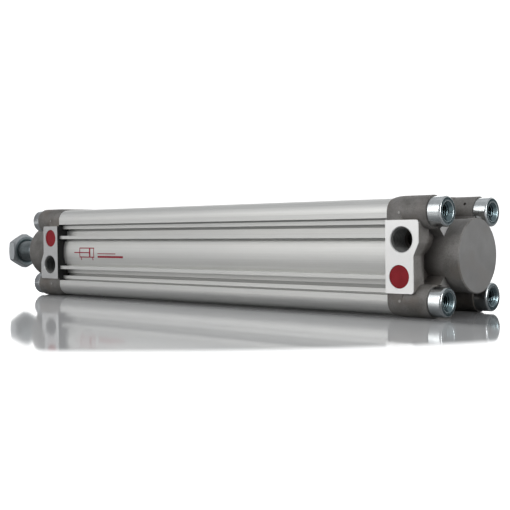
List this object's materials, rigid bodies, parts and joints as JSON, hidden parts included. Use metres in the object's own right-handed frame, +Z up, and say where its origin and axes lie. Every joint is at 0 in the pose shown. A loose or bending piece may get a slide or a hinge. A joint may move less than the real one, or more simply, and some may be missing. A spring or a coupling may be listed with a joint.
{
  "type": "pneumatic cylinder",
  "caption": "Profile-barrel pneumatic cylinder with cast end covers, threaded piston rod with lock nut, side ports, cushion needles under red caps and sensor slots.",
  "frame": {"origin": "centre of the rear mounting face, the plane of the four rear screw heads, on the rod axis", "axes": "+X out of the rear end, the rod leaves at -X; -Y out of the ports; +Z up"},
  "size_m": [0.429, 0.0645, 0.064],
  "materials": {
    "anodised_aluminium": "satin clear anodised extrusion",
    "cast_aluminium": "grey die-cast, tumbled, with machined pad and spigot",
    "zinc_steel": "bright zinc plated",
    "chromed_steel": "hard chromed and polished rod",
    "red_plastic": "moulded, satin",
    "black_rubber": "moulded elastomer",
    "bush_bronze": "sintered bronze",
    "needle_brass": "turned brass",
    "piston_aluminium": "turned aluminium",
    "magnet_ferrite": "plastic-bonded ferrite",
    "wear_ring_plastic": "acetal"
  },
  "bodies": {
    "cylinder": {"barrel": "anodised_aluminium", "front_cover": "cast_aluminium", "rear_cover": "cast_aluminium", "front_cover_screws": "zinc_steel", "rear_cover_screws": "zinc_steel", "front_barrel_o_ring": "black_rubber", "rear_barrel_o_ring": "black_rubber", "front_cushion_seal": "black_rubber", "rear_cushion_seal": "black_rubber", "rod_bush": "bush_bronze", "rod_seal": "black_rubber", "front_red_cap": "red_plastic", "rear_red_cap": "red_plastic"},
    "piston_seals": {"front_piston_seal": "black_rubber", "rear_piston_seal": "black_rubber", "piston_wear_ring": "wear_ring_plastic"},
    "rod": {"piston_rod": "chromed_steel", "front_piston_half": "piston_aluminium", "rear_piston_half": "piston_aluminium", "piston_magnet": "magnet_ferrite", "piston_o_ring": "black_rubber", "front_cushion_sleeve": "piston_aluminium", "rear_cushion_spear": "piston_aluminium"},
    "lock_nut": {"rod_nut": "zinc_steel"},
    "front_needle_ring": {"front_needle_o_ring": "black_rubber"},
    "front_needle": {"front_cushion_needle": "needle_brass"},
    "rear_needle_ring": {"rear_needle_o_ring": "black_rubber"},
    "rear_needle": {"rear_cushion_needle": "needle_brass"}
  },
  "joints": [
    {"name": "rod_slide", "type": "slide", "parent": "cylinder", "child": "piston_seals", "axis": [-1, 0, 0], "range_m": [0, 0.25]},
    {"name": "rod_spin", "type": "hinge", "parent": "piston_seals", "child": "rod", "pos_m": [-0.053, 0, 0], "axis": [-1, 0, 0], "continuous": true},
    {"name": "lock_nut_turn", "type": "hinge", "parent": "rod", "child": "lock_nut", "pos_m": [-0.4154, 0, 0], "axis": [-1, 0, 0], "continuous": true},
    {"name": "front_needle_travel", "type": "slide", "parent": "cylinder", "child": "front_needle_ring", "axis": [0, -1, 0], "range_m": [0, 0.0024]},
    {"name": "front_needle_turn", "type": "hinge", "parent": "front_needle_ring", "child": "front_needle", "pos_m": [-0.332, -0.02, 0.0104], "axis": [0, -1, 0], "range_deg": [0, 1080]},
    {"name": "rear_needle_travel", "type": "slide", "parent": "cylinder", "child": "rear_needle_ring", "axis": [0, -1, 0], "range_m": [0, 0.0024]},
    {"name": "rear_needle_turn", "type": "hinge", "parent": "rear_needle_ring", "child": "rear_needle", "pos_m": [-0.024, -0.02, -0.0104], "axis": [0, -1, 0], "range_deg": [0, 1080]}
  ],
  "couplings": [
    {"joint": "front_needle_turn", "follows": "front_needle_travel", "rad_per_m": 7853.9},
    {"joint": "rear_needle_turn", "follows": "rear_needle_travel", "rad_per_m": 7853.9}
  ]
}
